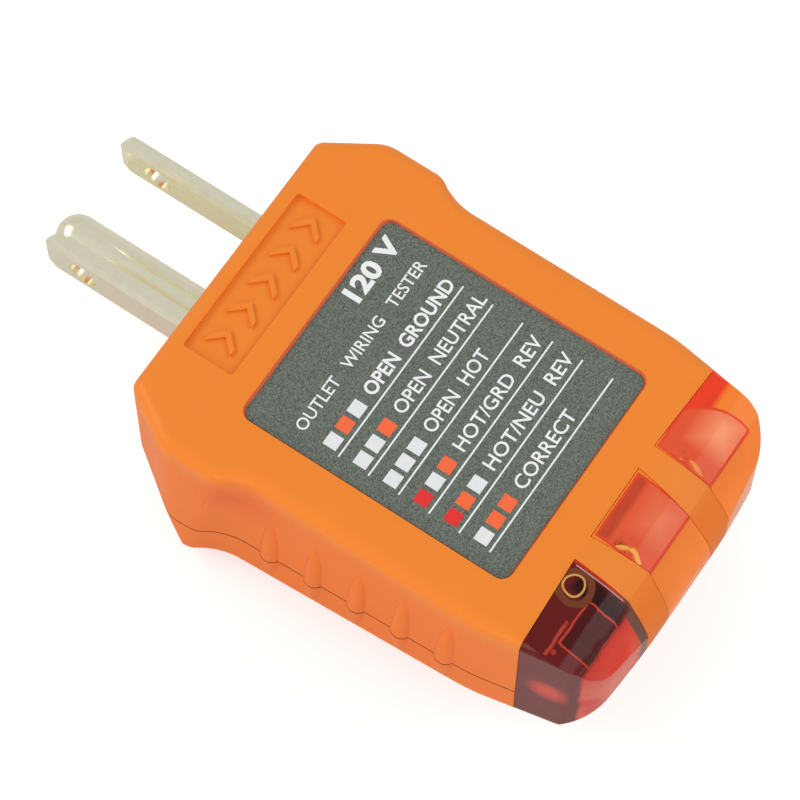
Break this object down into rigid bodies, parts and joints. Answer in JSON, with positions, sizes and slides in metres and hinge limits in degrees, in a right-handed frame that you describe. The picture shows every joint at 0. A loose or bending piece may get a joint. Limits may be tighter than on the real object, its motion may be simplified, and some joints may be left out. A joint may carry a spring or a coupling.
{
  "type": "outlet tester plug",
  "caption": "Hand-held plug-in outlet tester: two-shell grip case on three prongs, with a label and indicator lights at the far end.",
  "frame": {"origin": "under the middle of the whole box, at the lowest point of the back shell's heel", "axes": "+Y along the prongs, away from the case; +Z out of the label face; +X to the right when the label is read with the prongs at the top"},
  "size_m": [0.039, 0.0756, 0.0279],
  "materials": {
    "orange_case": "fine satin moulded texture",
    "label": "printed polyester, fine speckle",
    "red_lens": "clear tinted, polished window, softer end",
    "amber_lens": "clear tinted, polished window, softer end",
    "nickel_plate": "bright nickel plate",
    "brass_strip": "rolled strip",
    "board": "bare laminate",
    "tinned_wire": "bright tin",
    "screw_steel": "zinc plated",
    "lamp_glass": "clear",
    "electrode_wire": "drawn",
    "resistor_coat": "moulded coating"
  },
  "bodies": {
    "root": {"front_shell": "orange_case", "back_shell": "orange_case", "prong_carrier": "orange_case", "face_label": "label", "red_lens": "red_lens", "middle_amber_lens": "amber_lens", "side_amber_lens": "amber_lens", "neutral_blade": "nickel_plate", "hot_blade": "nickel_plate", "ground_pin": "nickel_plate", "ground_tab": "brass_strip", "circuit_board": "board", "resistor_leads": "tinned_wire", "solder_joints": "tinned_wire", "housing_screws": "screw_steel", "red_lamp_glass": "lamp_glass", "middle_lamp_glass": "lamp_glass", "side_lamp_glass": "lamp_glass", "red_lamp_electrodes": "electrode_wire", "middle_lamp_electrodes": "electrode_wire", "side_lamp_electrodes": "electrode_wire", "resistor_1": "resistor_coat", "resistor_2": "resistor_coat", "resistor_3": "resistor_coat"}
  },
  "joints": []
}
